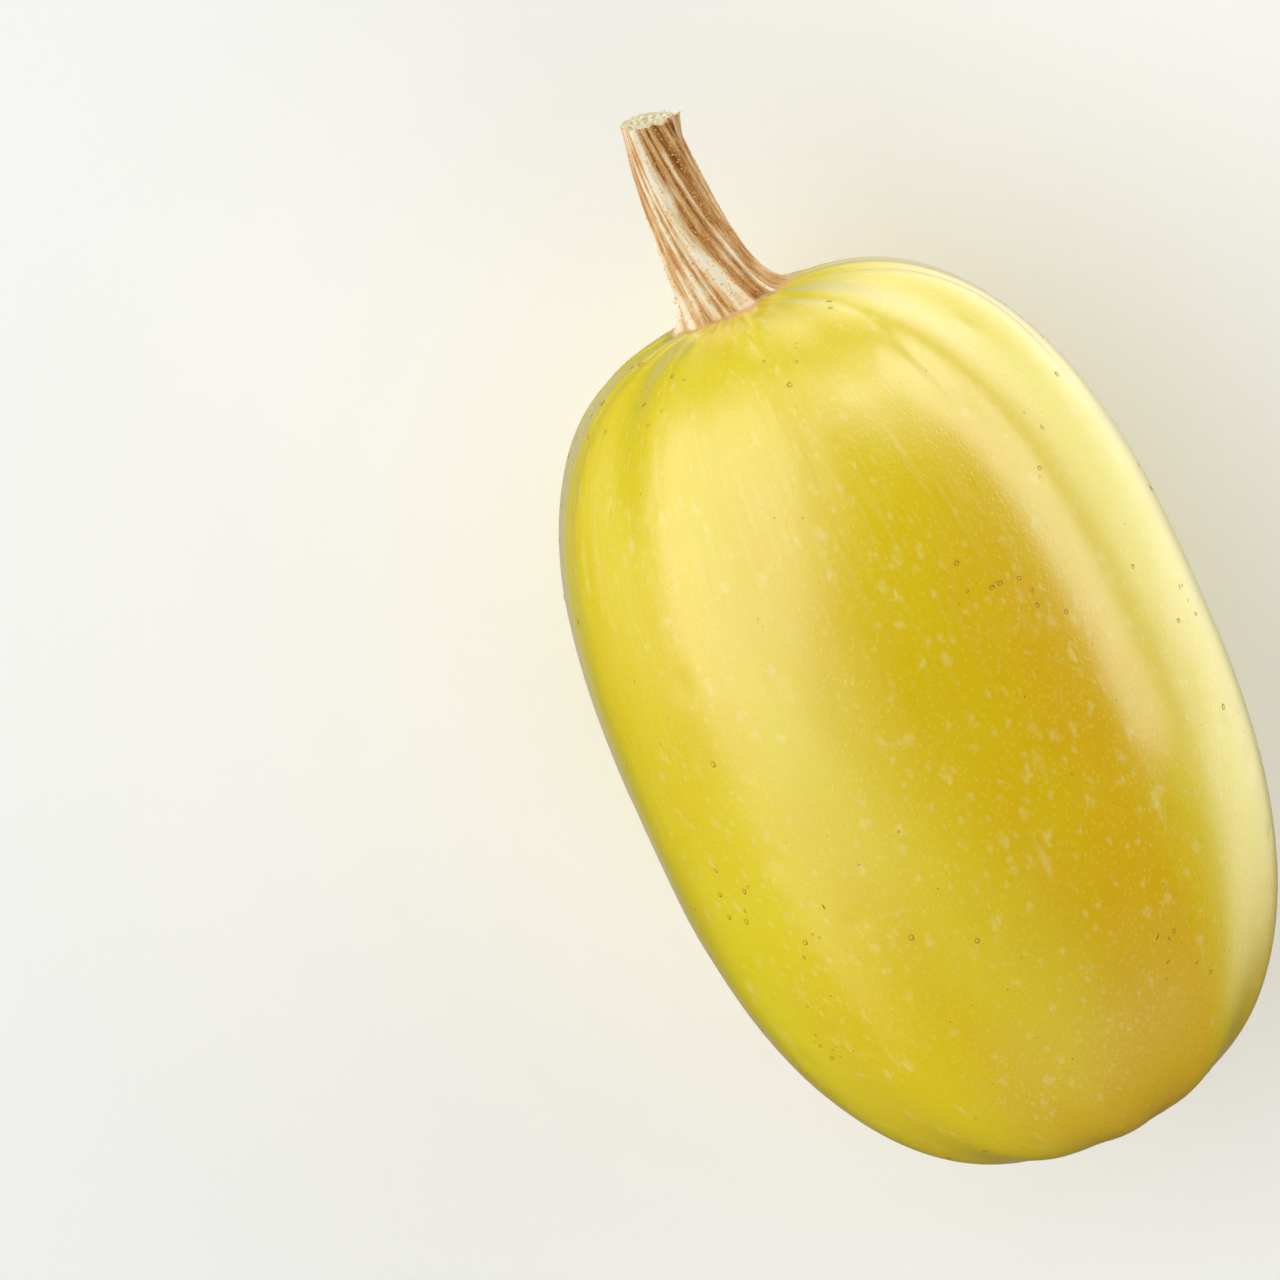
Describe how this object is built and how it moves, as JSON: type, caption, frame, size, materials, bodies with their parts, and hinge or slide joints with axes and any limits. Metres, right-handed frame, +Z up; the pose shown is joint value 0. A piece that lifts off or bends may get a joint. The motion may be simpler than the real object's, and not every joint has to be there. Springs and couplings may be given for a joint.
{
  "type": "spaghetti squash",
  "caption": "Ripe yellow spaghetti squash, a smooth blunt oblong fruit with low lobes and a dry fluted stem, lying on its side on a small flat ground spot",
  "frame": {"origin": "middle of the flat ground spot that the squash rests on, under the fruit's widest section", "axes": "X along the fruit, stem towards -X and blossom end towards +X; Z up from the ground spot through the fruit; Y sideways"},
  "size_m": [0.2697, 0.1431, 0.1425],
  "materials": {
    "fruit_skin": "satin",
    "dry_stem": "matte"
  },
  "bodies": {
    "root": {"fruit": "fruit_skin", "stem": "dry_stem"}
  },
  "joints": []
}
